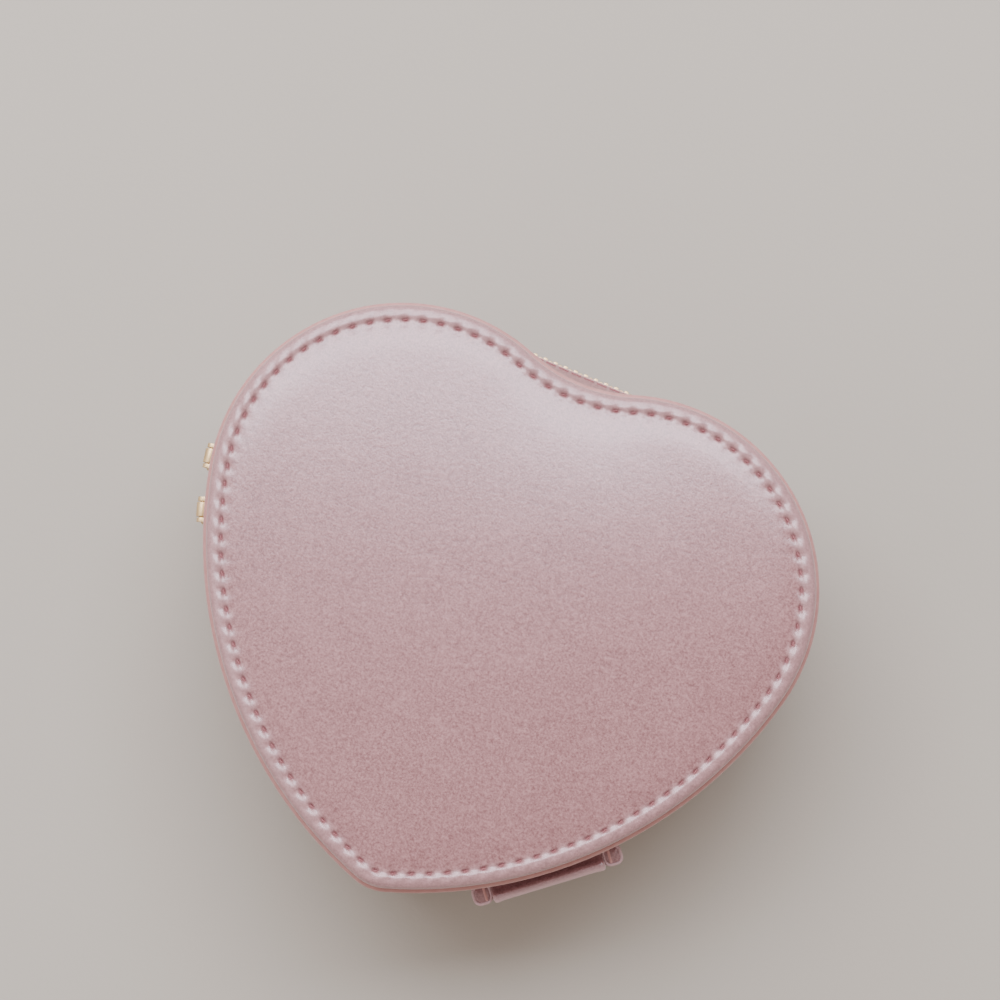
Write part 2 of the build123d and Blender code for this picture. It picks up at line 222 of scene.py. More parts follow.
# ---------------------------------------------------------------- lid top cover
# Satin-faced velvet pulled over foam. It is turned over the panel's edge and saddle stitched all round
# through foam and board, so that the cloth dips under each stitch and puffs up between them.
LOBE_X, LOBE_Y, LOBE_R = 22.6, 16.6, 36.4
SIDE_R, SIDE_ANGLE = 84.4, math.radians(13.0)
TIP_R, LEAST_TIP_R = 9.6, 2.5
PANEL_NOTCH_R, ZIP_NOTCH_R = 30.6, 2000.0
HEART_MIDDLE = np.array((0.0, 3.0))
SIDE_X = LOBE_X - (SIDE_R - LOBE_R) * math.cos(SIDE_ANGLE)
SIDE_Y = LOBE_Y + (SIDE_R - LOBE_R) * math.sin(SIDE_ANGLE)


def heart_arcs(offset, notch_radius):
    """The arcs of the heart outline from the point round the right lobe: centre, radius, start, end."""
    tip, lobe, side = max(TIP_R + offset, LEAST_TIP_R), LOBE_R + offset, SIDE_R + offset
    notch = notch_radius - offset
    tip_y = SIDE_Y - math.sqrt((side - tip) ** 2 - SIDE_X**2)
    notch_y = LOBE_Y + math.sqrt((LOBE_R + notch_radius) ** 2 - LOBE_X**2)
    tip_end = math.atan2(tip_y - SIDE_Y, -SIDE_X)
    side_end = math.atan2(LOBE_Y - SIDE_Y, LOBE_X - SIDE_X)
    lobe_end = math.atan2(notch_y - LOBE_Y, -LOBE_X)
    right = [
        (0.0, tip_y, tip, -math.pi / 2, tip_end),
        (SIDE_X, SIDE_Y, side, tip_end, side_end),
        (LOBE_X, LOBE_Y, lobe, side_end, lobe_end),
        (0.0, notch_y, -notch, lobe_end, math.pi / 2),
    ]
    left = [(-x, y, radius, math.pi - end, math.pi - start) for x, y, radius, start, end in reversed(right)]
    return right + left


def heart_line(offset, count, lean=0.0):
    """Points on the heart outline, moved out by offset, and their outward directions, in millimetres.
    Lean 0 has the panels' notch, and 1 the zip's shallow one."""
    arcs, shallow = heart_arcs(offset, PANEL_NOTCH_R), heart_arcs(offset, ZIP_NOTCH_R)
    lengths = [abs(radius * (end - start)) for _, _, radius, start, end in arcs]
    ends = np.cumsum(lengths)
    places = np.arange(count) * ends[-1] / count
    points, normals = np.zeros((count, 2)), np.zeros((count, 2))
    for index, place in enumerate(places):
        k = min(int(np.searchsorted(ends, place, side="right")), len(arcs) - 1)
        share = (place - ends[k] + lengths[k]) / lengths[k]
        for weight, (x, y, radius, start, end) in ((1 - lean, arcs[k]), (lean, shallow[k])):
            angle = start + (end - start) * share
            direction = np.array((math.cos(angle), math.sin(angle)))
            normals[index] += weight * direction
            points[index] += weight * ((x, y) + radius * direction)
    return points, normals / np.linalg.norm(normals, axis=1)[:, None]


def smooth_profile(knots, steps):
    """A smooth curve through the knots, with a few points between each pair."""
    line = np.array([knots[0], *knots, knots[-1]], float)
    made = []
    for before, start, end, after in zip(line[:-3], line[1:-2], line[2:-1], line[3:]):
        for t in np.arange(steps) / steps:
            a = 2 * start
            b = (end - before) * t
            c = (2 * before - 5 * start + 4 * end - after) * t**2
            d = (3 * start - before - 3 * end + after) * t**3
            made.append((a + b + c + d) / 2)
    return np.array([*made, line[-1]])


def velvet(name, dark, light, pale, gloss=1.0, nap=1.0):
    """Short velvet with a satin face: a fine mottled nap, brushed patches and a wide soft gloss. Two marks on
    a
    piece paint light into its colour: one darkens it as painted shade, the other lightens it towards the
    pale colour as a painted highlight.
    """
    finish = Finish(name, Sheen_Weight=0.30, Sheen_Roughness=0.35, Sheen_Tint=(1.0, 0.93, 0.95, 1.0))
    finish.surface.inputs["Specular IOR Level"].default_value = gloss
    finish.surface.inputs["Specular Tint"].default_value = (0.98, 0.935, 1.0, 1.0)
    finish.surface.inputs["IOR"].default_value = 1.58
    speckle = finish.noise(2300.0, 3.0, 0.8)
    clump = finish.noise(1150.0, 2.0, 0.6)
    brushed = finish.noise(110.0, 3.0, 0.6, stretch=(1.0, 1.7, 1.0))
    shade = speckle * 0.64 + clump * 0.27 + brushed * 0.09
    stops = [(0.35, (0, 0, 0)), (0.65, (1, 1, 1))]
    steep = finish.node("ShaderNodeValToRGB", {"stops": stops}, {"Fac": shade})
    cloth = finish.mix(steep, dark, light)
    # Painted shade: the shade mark darkens the cloth where shade falls, in stitch dips, grooves and recesses.
    cloth = finish.mix(finish.mark("seam"), cloth, (0.95 * dark[0], 0.75 * dark[1], 0.80 * dark[2]))
    # Painted highlight: the highlight mark lightens the cloth towards the pale colour where light catches
    # puffs, rolls and crests.
    cloth = finish.mix(finish.mark("puff") * 0.6, cloth, pale)
    finish.feed("Base Color", cloth)
    finish.feed("Roughness", 0.26 + shade * 0.09 + finish.mark("seam") * 0.22 + finish.mark("puff") * 0.22)
    finish.bump(speckle * 0.5 + clump * 0.9 + brushed * 1.2, 0.00006, 0.5 * nap)
    return finish


# The third colour is the pale colour of the painted highlight.
case_velvet = velvet("case_velvet", (0.160, 0.057, 0.062), (0.352, 0.174, 0.182), (0.520, 0.342, 0.366))

STITCHES = 99
STEPS_PER_STITCH = 12
STITCH_LINE, STITCH_LEVEL = -3.45, 49.62
EDGE_STEPS = 5
EDGE_KNOTS = [
    (-2.20, 46.45), (-1.50, 46.40), (-0.96, 46.62), (-0.66, 47.15), (-0.60, 47.95), (-0.79, 48.75),
    (-1.24, 49.36), (-1.90, 49.76), (-2.65, 49.86), (STITCH_LINE, STITCH_LEVEL), (-4.20, 49.74),
    (-5.00, 49.92), (-5.90, 50.09), (-7.00, 50.28),
]
# Places and widths across the stitch line are in millimetres, and shares are parts of one stitch's pitch.
DIP_PLACE, DIP_WIDTH, DIP_DEPTH, DIP_SHARE = -0.08, 0.30, 0.54, 0.185
# The last values on the lump and rim lines set the painted highlight: how much the puffs between stitches and
# the outer roll are lightened.
LUMP_PLACE, LUMP_WIDTH, LUMP_RISE, LUMP_PAINTED_HIGHLIGHT = 0.15, 0.80, 0.20, 0.45
OUTER_ROLL_PLACE, OUTER_ROLL_WIDTH, OUTER_ROLL_RISE = 1.0, 0.60, 0.20
INNER_ROLL_PLACE, INNER_ROLL_WIDTH, INNER_ROLL_RISE = -1.1, 0.70, 0.05
RIM_PLACE, RIM_SOFTNESS, RIM_PAINTED_HIGHLIGHT = 0.7, 0.2, 0.36
UNDERSIDE_LEVEL = 47.0
SLANT_SHARE = 0.10
DOME_RINGS = 18
DOME_RISE = 2.25
around = STITCHES * STEPS_PER_STITCH
edge_rings = smooth_profile(EDGE_KNOTS, EDGE_STEPS)
outline, outward = heart_line(STITCH_LINE, around)
steps = np.arange(around) / STEPS_PER_STITCH
verts, dip_painted_shade, painted_highlight_mark = [], [], []


def bell(distance, width):
    """1 at no distance, and falling smoothly to 0 a few widths away."""
    return math.exp(-((distance / width) ** 2))


for ring_out, ring_up in edge_rings:
    across = ring_out - STITCH_LINE
    phase = (steps + SLANT_SHARE * across) % 1.0
    dip = bell(across - DIP_PLACE, DIP_WIDTH) / (1 + (np.minimum(phase, 1 - phase) / DIP_SHARE) ** 4)
    swing = np.sin(math.pi * phase) ** 2
    lump = bell(across - LUMP_PLACE, LUMP_WIDTH) * swing
    rolls = OUTER_ROLL_RISE * bell(across - OUTER_ROLL_PLACE, OUTER_ROLL_WIDTH)
    rolls += INNER_ROLL_RISE * bell(across - INNER_ROLL_PLACE, INNER_ROLL_WIDTH)
    rim = 1 / (1 + math.exp((RIM_PLACE - across) / RIM_SOFTNESS)) if ring_up > UNDERSIDE_LEVEL else 0.0
    height = ring_up - DIP_DEPTH * dip + LUMP_RISE * lump + rolls * (swing - 0.5)
    ring = outline + outward * across
    verts += [(x * MM, y * MM, z * MM) for (x, y), z in zip(ring, height)]
    # The dips carry painted shade, and the puffs and the outer roll a painted highlight, for the finish to
    # read.
    dip_painted_shade += list(dip)
    painted_highlight_mark += list(LUMP_PAINTED_HIGHLIGHT * lump + RIM_PAINTED_HIGHLIGHT * rim)
inner_ring = outline + outward * (edge_rings[-1][0] - STITCH_LINE)

# Inside the last ring the cloth swells over the foam like an even, tight skin under pressure: on a
# square grid, each point settles a little above the mean of its four neighbours.
GRID_STEP, GRID_HALF = 1.0, 60
GRID_ROUNDS, GRID_LOAD = 2600, 0.001
grid = np.arange(-GRID_HALF, GRID_HALF + 1) * GRID_STEP
grid_x, grid_y = np.meshgrid(grid, grid, indexing="ij")
edge_x, edge_y = inner_ring[:, 0], inner_ring[:, 1]
next_x, next_y = np.roll(edge_x, -1), np.roll(edge_y, -1)
crossings = np.zeros(grid_x.shape, int)
for x0, y0, x1, y1 in zip(edge_x, edge_y, next_x, next_y):
    spans = (y0 > grid_y) != (y1 > grid_y)
    crossings += spans & (grid_x < x0 + (grid_y - y0) * (x1 - x0) / ((y1 - y0) or 1e-9))
inside = crossings % 2 == 1
swell = np.zeros(grid_x.shape)
for _ in range(GRID_ROUNDS):
    mean = (np.roll(swell, 1, 0) + np.roll(swell, -1, 0) + np.roll(swell, 1, 1) + np.roll(swell, -1, 1)) / 4
    swell = np.where(inside, mean + GRID_LOAD, 0.0)
swell *= DOME_RISE / swell.max()


def dome_level(places):
    """The height of the swollen cloth at points inside the last ring, in millimetres."""
    at = (np.asarray(places) / GRID_STEP) + GRID_HALF
    low = np.floor(at).astype(int)
    (i, j), (u, v) = low.T, (at - low).T
    near_row = swell[i, j] * (1 - u) + swell[i + 1, j] * u
    far_row = swell[i, j + 1] * (1 - u) + swell[i + 1, j + 1] * u
    return EDGE_KNOTS[-1][1] + near_row * (1 - v) + far_row * v


def ring_faces(rings, around, looped=False):
    """Quads that join each ring of points to the next, and the last to the first if they are looped."""
    faces = []
    for ring in range(rings if looped else rings - 1):
        here, there = ring * around, (ring + 1) % rings * around
        for k in range(around):
            m = (k + 1) % around
            faces.append((here + k, here + m, there + m, there + k))
    return faces


def fan_faces(start, around, tip):
    """Triangles from a ring of points, whose first index is start, to the point that closes it."""
    return [(start + k, start + (k + 1) % around, tip) for k in range(around)]


def set_mark(piece, name, values):
    """Stores a value at each point of a piece, for its finish to read."""
    layer = piece.data.attributes.new(name, "FLOAT", "POINT")
    layer.data.foreach_set("value", np.array(values, np.float32))


for k in range(1, DOME_RINGS):
    ring = inner_ring + (HEART_MIDDLE - inner_ring) * k / DOME_RINGS
    verts += [(x * MM, y * MM, level * MM) for (x, y), level in zip(ring, dome_level(ring))]
rings = len(verts) // around
verts.append((*(HEART_MIDDLE * MM), dome_level(HEART_MIDDLE[None])[0] * MM))
faces = ring_faces(rings, around) + fan_faces((rings - 1) * around, around, rings * around)
lid_top_cover = new_piece("lid_padded_top", verts, faces, case_velvet)
plain = [0.0] * (len(verts) - len(dip_painted_shade))
set_mark(lid_top_cover, "seam", dip_painted_shade + plain)
set_mark(lid_top_cover, "puff", painted_highlight_mark + plain)
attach(lid_top_cover, "lid")
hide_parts("lid_top_cover", "lid_foam_pad")

# ---------------------------------------------------------------- lid stitching
# Thick polyester thread, a darker rose than the cloth, sewn through the panel by machine. Each stitch
# lies at the bottom of its own dip, and its ends go down into the foam.
def finished_mesh(carrier, name):
    """The carrier with its modifiers run, as a new plain piece; the carrier is removed."""
    shown = carrier.evaluated_get(bpy.context.evaluated_depsgraph_get())
    piece = bpy.data.objects.new(name, bpy.data.meshes.new_from_object(shown))
    bpy.context.scene.collection.objects.link(piece)
    bpy.data.objects.remove(carrier)
    return piece


def line_carrier(name, points, closed):
    """An edge-only mesh along the points, given in millimetres, for a node tree to follow."""
    mesh = bpy.data.meshes.new(name)
    edges = [(i, i + 1) for i in range(len(points) - 1)] + ([(len(points) - 1, 0)] if closed else [])
    mesh.from_pydata([tuple(c * MM for c in p) for p in points], edges, [])
    carrier = bpy.data.objects.new(name, mesh)
    bpy.context.scene.collection.objects.link(carrier)
    return carrier


def node_tree(name, inputs):
    """An empty Geometry Nodes tree with named inputs: the tree, its inputs' identifiers, the sockets they
    give, the function that adds a node and gives one of its outputs, and the one that ends the tree."""
    tree = bpy.data.node_groups.new(name, "GeometryNodeTree")
    tree.interface.new_socket("Geometry", in_out="INPUT", socket_type="NodeSocketGeometry")
    sockets = {}
    for label, kind in inputs:
        made = tree.interface.new_socket(label, in_out="INPUT", socket_type=kind)
        sockets[label] = made.identifier
    tree.interface.new_socket("Geometry", in_out="OUTPUT", socket_type="NodeSocketGeometry")
    entry, leave = tree.nodes.new("NodeGroupInput"), tree.nodes.new("NodeGroupOutput")

    def add(kind, settings=(), links=(), output=0):
        made = tree.nodes.new(kind)
        for setting, value in dict(settings).items():
            setattr(made, setting, value)
        for socket, value in dict(links).items():
            if isinstance(value, bpy.types.NodeSocket):
                tree.links.new(value, made.inputs[socket])
            else:
                made.inputs[socket].default_value = value
        return made.outputs[output]

    def end(shape, finish):
        coloured = add("GeometryNodeSetMaterial", links={"Geometry": shape, "Material": finish.material})
        tree.links.new(coloured, leave.inputs["Geometry"])

    return tree, sockets, entry.outputs, add, end


def laid_along(add, line, count, shape):
    """Nodes that lay a shape at even places along a line, turned with it, and make it real."""
    curve = add("GeometryNodeMeshToCurve", links={"Mesh": line})
    spaced = add("GeometryNodeResampleCurve", links={"Curve": curve, "Count": count})
    tangent = add("GeometryNodeInputTangent")
    turn = add("FunctionNodeAlignRotationToVector", {"axis": "X"}, {"Vector": tangent})
    laid = add("GeometryNodeInstanceOnPoints", links={"Points": spaced, "Instance": shape, "Rotation": turn})
    return add("GeometryNodeRealizeInstances", links={"Geometry": laid})


def run_tree(carrier, tree, sockets, values, name):
    """Puts the tree on the carrier with its inputs set, and returns the finished piece."""
    modifier = carrier.modifiers.new("run", "NODES")
    modifier.node_group = tree
    for label, value in values.items():
        modifier[sockets[label]] = value
    return finished_mesh(carrier, name)


def stitch_tree(finish):
    """A run of thread stitches along a line: each a bowed length of thread with both ends sunk."""
    tree, sockets, given, add, end = node_tree(
        "stitch_run",
        [("Stitches", "NodeSocketInt"), ("Length", "NodeSocketFloat"), ("Thread radius", "NodeSocketFloat"),
         ("Bow", "NodeSocketFloat"), ("Slant", "NodeSocketFloat")],
    )
    half = add("ShaderNodeMath", {"operation": "MULTIPLY"}, {0: given["Length"], 1: 0.5})
    minus = add("ShaderNodeMath", {"operation": "MULTIPLY"}, {0: half, 1: -1.0})
    down = add("ShaderNodeMath", {"operation": "MULTIPLY"}, {0: given["Bow"], 1: -1.0})
    back = add("ShaderNodeMath", {"operation": "MULTIPLY"}, {0: given["Slant"], 1: -1.0})
    first_end = add("ShaderNodeCombineXYZ", links={"X": minus, "Y": back, "Z": down})
    last_end = add("ShaderNodeCombineXYZ", links={"X": half, "Y": given["Slant"], "Z": down})
    middle = add("ShaderNodeCombineXYZ", links={"Z": given["Bow"]})
    bow = add(
        "GeometryNodeCurveQuadraticBezier",
        links={"Resolution": 7, "Start": first_end, "Middle": middle, "End": last_end},
    )
    section = {"Resolution": 8, "Radius": given["Thread radius"]}
    round_thread = add("GeometryNodeCurvePrimitiveCircle", links=section)
    swept = {"Curve": bow, "Profile Curve": round_thread, "Fill Caps": True}
    thread = add("GeometryNodeCurveToMesh", links=swept)
    sewn = laid_along(add, given["Geometry"], given["Stitches"], thread)
    end(add("GeometryNodeSetShadeSmooth", links={"Geometry": sewn}), finish)
    return tree, sockets


thread_finish = Finish("stitch_thread", Roughness=0.62, Sheen_Weight=0.1)
ply = thread_finish.noise(2400.0, 2.0)
thread_finish.feed("Base Color", thread_finish.mix(ply, (0.20, 0.062, 0.070), (0.29, 0.105, 0.115)))
thread_finish.bump(ply, 0.0001)
sewing, sewing_sockets = stitch_tree(thread_finish)


def sewn_run(name, points, closed, count, length, radius, bow, slant=0.0):
    """One run of stitches along the points, with sizes in millimetres."""
    carrier = line_carrier(name + "_line", points, closed)
    values = {
        "Stitches": count, "Length": length * MM, "Thread radius": radius * MM, "Bow": bow * MM,
        "Slant": slant * MM,
    }
    return run_tree(carrier, sewing, sewing_sockets, values, name)


STITCH_LENGTH, STITCH_BOW, STITCH_SLANT = 1.40, 0.14, 0.16
THREAD_RADIUS, THREAD_LIFT = 0.22, 0.06
stitch_points = [(x, y, STITCH_LEVEL - DIP_DEPTH + THREAD_LIFT) for x, y in outline]
lid_stitching = sewn_run(
    "lid_stitches", stitch_points, True, STITCHES, STITCH_LENGTH, THREAD_RADIUS, STITCH_BOW, STITCH_SLANT
)
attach(lid_stitching, "lid")
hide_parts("lid_stitching")

# ---------------------------------------------------------------- piping
# A cord wrapped in bias-cut satin. One is sewn in under each panel's edge, where it shows as a thin
# darker line between the panel and the wall.
piping_satin = Finish("piping_satin", Sheen_Weight=0.35, Sheen_Roughness=0.4)
bias = piping_satin.noise(700.0, 3.0, 0.6)
piping_satin.feed("Base Color", piping_satin.mix(bias, (0.33, 0.140, 0.135), (0.47, 0.240, 0.230)))
piping_satin.feed("Roughness", 0.38 + bias * 0.2)
piping_satin.bump(bias, 0.0002, 0.5)


def dress(node, finish):
    """Gives a CAD node its finish in place of the plain one."""
    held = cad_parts[node].data.materials
    held.clear()
    held.append(finish.material)


for node in ("lid_piping", "base_piping"):
    dress(node, piping_satin)

# ---------------------------------------------------------------- wall covers
# The same velvet, pulled round the wall boards, turned in at the zip and held there by a row of
# topstitching. The walls lean in at the notch, from the straight zip to the panels' edges.
ZIP_HEIGHT, BASE_WALL_FOOT, BASE_WALL_HEM, LID_WALL_HEM, LID_WALL_HEAD = 33.0, 5.05, 28.0, 38.0, 44.35


def lean_at(up):
    """How far the notch has changed at a height, from the panels' at 0 to the zip's at 1."""
    if up < ZIP_HEIGHT:
        return min(max((up - BASE_WALL_FOOT) / (BASE_WALL_HEM - BASE_WALL_FOOT), 0.0), 1.0)
    return min(max((LID_WALL_HEAD - up) / (LID_WALL_HEAD - LID_WALL_HEM), 0.0), 1.0)


HINGE_ANGLE = math.radians(-50.5)
hinge_out = np.array((math.cos(HINGE_ANGLE), math.sin(HINGE_ANGLE)))
hinge_along = np.array((-hinge_out[1], hinge_out[0]))
flank_centre = np.array((SIDE_X, SIDE_Y))


def in_hinge_gap(point, gap):
    """Whether a point of the outline lies in the stretch that the hinge takes."""
    away = point - flank_centre
    return away @ hinge_out > 0.8 * SIDE_R and abs(away @ hinge_along) < gap / 2


def clear_of_hinge(line, gap):
    """Where a closed line's points lie in the line, from one side of the hinge's gap round to the other."""
    kept = [not in_hinge_gap(point, gap) for point in line]
    first = next(i for i in range(len(line)) if kept[i] and not kept[i - 1])
    return [(first + i) % len(line) for i in range(sum(kept))]


def band(name, profile, finish, count=720, gap=0.0):
    """A band that keeps one closed profile of (outward, up) points all round the heart, in millimetres.
    A gap leaves it open at the hinge and closes both ends."""
    size = len(profile)
    lines = [heart_line(out, count, lean_at(up))[0] for out, up in profile]
    order = clear_of_hinge(lines[0], gap) if gap else list(range(count))
    verts = [(*(lines[k][i] * MM), profile[k][1] * MM) for i in order for k in range(size)]
    spans = len(order) - (1 if gap else 0)
    faces = []
    for i in range(spans):
        j = (i + 1) % len(order)
        for k in range(size):
            m = (k + 1) % size
            faces.append((i * size + k, j * size + k, j * size + m, i * size + m))
    walls = len(faces)
    if gap:
        faces.append(tuple(range(size)))
        faces.append(tuple(reversed(range((len(order) - 1) * size, len(order) * size))))
    piece = new_piece(name, verts, faces, finish)
    lengths = np.linalg.norm(np.roll(lines[0], -1, axis=0) - lines[0], axis=1) * MM
    along_line = np.concatenate([[0.0], np.cumsum(lengths[order])])
    reach = np.cumsum([0.0] + [math.dist(profile[k], profile[(k + 1) % size]) * MM for k in range(size)])
    layer = piece.data.uv_layers.new(name="UVMap")
    for polygon in piece.data.polygons[:walls]:
        i, k = divmod(polygon.index, size)
        for corner, (di, dk) in zip(polygon.loop_indices, ((0, 0), (1, 0), (1, 1), (0, 1))):
            layer.data[corner].uv = (along_line[i + di], reach[k + dk])
    face_outwards(piece)
    return piece


def face_outwards(piece):
    """Turns every face of a closed piece outwards."""
    shape = bmesh.new()
    shape.from_mesh(piece.data)
    bmesh.ops.recalc_face_normals(shape, faces=shape.faces)
    shape.to_mesh(piece.data)
    shape.free()


LID_WALL_KNOTS = [
    (-1.30, 44.32), (-1.06, 43.20), (-0.96, 41.20), (-1.02, 39.70), (-1.14, 38.45), (-1.50, 38.04),
    (-1.90, 38.20), (-1.95, 40.00), (-1.95, 43.00), (-1.85, 44.34),
]
BASE_WALL_KNOTS = [
    (-1.30, 5.08), (-1.04, 7.50), (-0.88, 12.00), (-0.86, 17.00), (-0.93, 22.00), (-1.02, 25.50),
    (-1.14, 27.50), (-1.50, 27.96), (-1.90, 27.80), (-1.95, 22.00), (-1.95, 10.00), (-1.85, 5.06),
]
WALL_SEAM_OUT, WALL_SEAM_PITCH, WALL_SEAM_STEPS = -1.0, 2.6, 900
WALL_STITCH_LENGTH, WALL_THREAD_RADIUS = 2.0, 0.17
LID_SEAM_LEVEL, BASE_SEAM_LEVEL = 39.3, 26.6
WALLS = (("lid", LID_WALL_KNOTS, LID_SEAM_LEVEL), ("base", BASE_WALL_KNOTS, BASE_SEAM_LEVEL))
for part_name, knots, seam_level in WALLS:
    wall = band(f"{part_name}_velvet_wall", smooth_profile(knots, 2), case_velvet)
    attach(wall, part_name)
    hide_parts(f"{part_name}_wall_cover")
    seam_line = heart_line(WALL_SEAM_OUT, WALL_SEAM_STEPS, lean_at(seam_level))[0]
    seam_length = float(np.linalg.norm(np.roll(seam_line, -1, axis=0) - seam_line, axis=1).sum())
    seam_points = [(x, y, seam_level) for x, y in seam_line]
    topstitch = sewn_run(
        f"{part_name}_wall_stitches", seam_points, True, int(seam_length / WALL_SEAM_PITCH),
        WALL_STITCH_LENGTH, WALL_THREAD_RADIUS, 0.0,
    )
    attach(topstitch, part_name)

# ---------------------------------------------------------------- zip
# Twill tape in the case's pink carries gold-plated metal teeth. The two rows are the same tooth half a
# pitch apart, so that the heads lie between each other when the case is shut.
ZIP_GAP = 28.5
twill = Finish("zip_twill", Roughness=0.72, Sheen_Weight=0.3)
weave_place = twill.node("ShaderNodeMapping", sockets={"Vector": twill.place("UV"), "Rotation": (0, 0, 0.9)})
rib_sockets = {"Vector": weave_place, "Scale": 500.0}
ribs = twill.node("ShaderNodeTexWave", {"bands_direction": "X"}, rib_sockets, output=1)
twill.feed("Base Color", twill.mix(ribs, (0.52, 0.27, 0.26), (0.70, 0.42, 0.40)))
twill.bump(ribs, 0.0001, 0.7)
gold = Finish("pale_gold", Metallic=1.0)
gold_wear = gold.noise(260.0, 4.0, 0.65)
gold.feed("Base Color", gold.mix(gold_wear, (0.66, 0.47, 0.25), (0.82, 0.63, 0.37)))
gold.feed("Roughness", 0.38 + gold_wear * 0.20)
BASE_TAPE = [
    (-1.22, 28.05), (-1.16, 29.60), (-1.12, 31.60), (-1.20, 32.15), (-1.86, 32.15), (-1.90, 31.60),
    (-1.90, 29.60), (-1.88, 28.05),
]


def mirrored(knots):
    """The same knots on the other side of the zip's middle."""
    return [(out, 2 * ZIP_HEIGHT - up) for out, up in knots]


for part_name, profile in (("base", BASE_TAPE), ("lid", mirrored(BASE_TAPE))):
    tape = band(f"{part_name}_zip_twill", profile, twill, gap=ZIP_GAP)
    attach(tape, part_name)
    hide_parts(f"{part_name}_zip_tape")

TOOTH_PITCH = 2.1
TOOTH_WIDTH, TOOTH_DEPTH = 1.04, 1.9
TOOTH_FOOT, TOOTH_HEAD = -1.9, 0.62


def tooth_tree(finish):
    """A row of metal teeth along a line: a foot clamped on the tape and a narrower head across the middle."""
    tree, sockets, given, add, end = node_tree(
        "tooth_row",
        [("Teeth", "NodeSocketInt"), ("Width", "NodeSocketFloat"), ("Depth", "NodeSocketFloat"),
         ("Foot", "NodeSocketFloat"), ("Head", "NodeSocketFloat")],
    )
    span = add("ShaderNodeMath", {"operation": "SUBTRACT"}, {0: given["Head"], 1: given["Foot"]})
    both = add("ShaderNodeMath", {"operation": "ADD"}, {0: given["Head"], 1: given["Foot"]})
    middle = add("ShaderNodeMath", {"operation": "MULTIPLY"}, {0: both, 1: 0.5})
    size = add("ShaderNodeCombineXYZ", links={"X": given["Width"], "Y": given["Depth"], "Z": span})
    block = add("GeometryNodeMeshCube", links={"Size": size, "Vertices Z": 4})
    centre = add("ShaderNodeCombineXYZ", links={"Z": middle})
    lifted = add("GeometryNodeTransform", links={"Geometry": block, "Translation": centre})
    where = add("GeometryNodeInputPosition")
    level = add("ShaderNodeSeparateXYZ", links={0: where}, output="Z")
    away = add("ShaderNodeMath", {"operation": "DIVIDE"}, {0: level, 1: given["Foot"]})
    inner = add("ShaderNodeMapRange", links={0: away, 1: 0.0, 2: 0.9, 3: 0.86, 4: 1.0})
    shape = add("ShaderNodeCombineXYZ", links={"X": inner, "Y": inner, "Z": 1.0})
    narrowed = add("ShaderNodeVectorMath", {"operation": "MULTIPLY"}, {0: where, 1: shape})
    head_in = add("GeometryNodeSetPosition", links={"Geometry": lifted, "Position": narrowed})
    rounding = {"Mesh": head_in, "Level": 1, "Edge Crease": 0.55}
    tooth = add("GeometryNodeSubdivisionSurface", links=rounding)
    end(laid_along(add, given["Geometry"], given["Teeth"], tooth), finish)
    return tree, sockets


toothing, toothing_sockets = tooth_tree(gold)
TOOTH_STEPS, TOOTH_LINE, TOOTH_CLEARANCE = 1800, -1.32, 0.2
tooth_line = heart_line(TOOTH_LINE, TOOTH_STEPS, 1.0)[0]
tooth_run = tooth_line[clear_of_hinge(tooth_line, ZIP_GAP + TOOTH_CLEARANCE)]
tooth_along = np.concatenate([[0.0], np.cumsum(np.linalg.norm(np.diff(tooth_run, axis=0), axis=1))])
tooth_count = round(tooth_along[-1] / TOOTH_PITCH)
for part_name, shift, turn in (("base", 0.25, 1), ("lid", 0.75, -1)):
    places = (np.arange(tooth_count) + shift) * tooth_along[-1] / tooth_count
    run = [(*(np.interp(p, tooth_along, tooth_run[:, c]) for c in (0, 1)), ZIP_HEIGHT) for p in places]
    carrier = line_carrier("tooth_line", run, False)
    values = {
        "Teeth": tooth_count, "Width": TOOTH_WIDTH * MM, "Depth": TOOTH_DEPTH * MM,
        "Foot": turn * TOOTH_FOOT * MM, "Head": turn * TOOTH_HEAD * MM,
    }
    teeth = run_tree(carrier, toothing, toothing_sockets, values, f"{part_name}_gold_teeth")
    face_outwards(teeth)
    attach(teeth, part_name)
    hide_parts(f"{part_name}_zip_teeth")

# ---------------------------------------------------------------- zip sliders and pulls
# Die-cast sliders, plated to match the teeth, with their edges tumbled round. Each pull is a flat drop
# with an eyelet, hung on the pin between the slider's lugs.
def eased(node, name, finish, width, steps=3, sharp=35.0):
    """A copy of a CAD node's mesh with its corners rounded, in a finish of its own."""
    piece = bpy.data.objects.new(name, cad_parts[node].data.copy())
    bpy.context.scene.collection.objects.link(piece)
    piece.data.materials.clear()
    piece.data.materials.append(finish.material)
    shape = bmesh.new()
    shape.from_mesh(piece.data)
    bmesh.ops.remove_doubles(shape, verts=shape.verts, dist=0.00001)
    bmesh.ops.dissolve_limit(shape, angle_limit=math.radians(2.0), verts=shape.verts, edges=shape.edges)
    shape.to_mesh(piece.data)
    shape.free()
    rounding = piece.modifiers.new("rounding", "BEVEL")
    rounding.width, rounding.segments = width * MM, steps
    rounding.limit_method, rounding.angle_limit = "ANGLE", math.radians(sharp)
    rounding.use_clamp_overlap = True
    rounded = finished_mesh(piece, name)
    rounded.data.polygons.foreach_set("use_smooth", [True] * len(rounded.data.polygons))
    return rounded


for node in ("slider_lower", "slider_upper", "pull_lower", "pull_upper"):
    metal = eased(node, f"{node}_plated", gold, 0.16)
    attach(metal, node)
    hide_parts(node)

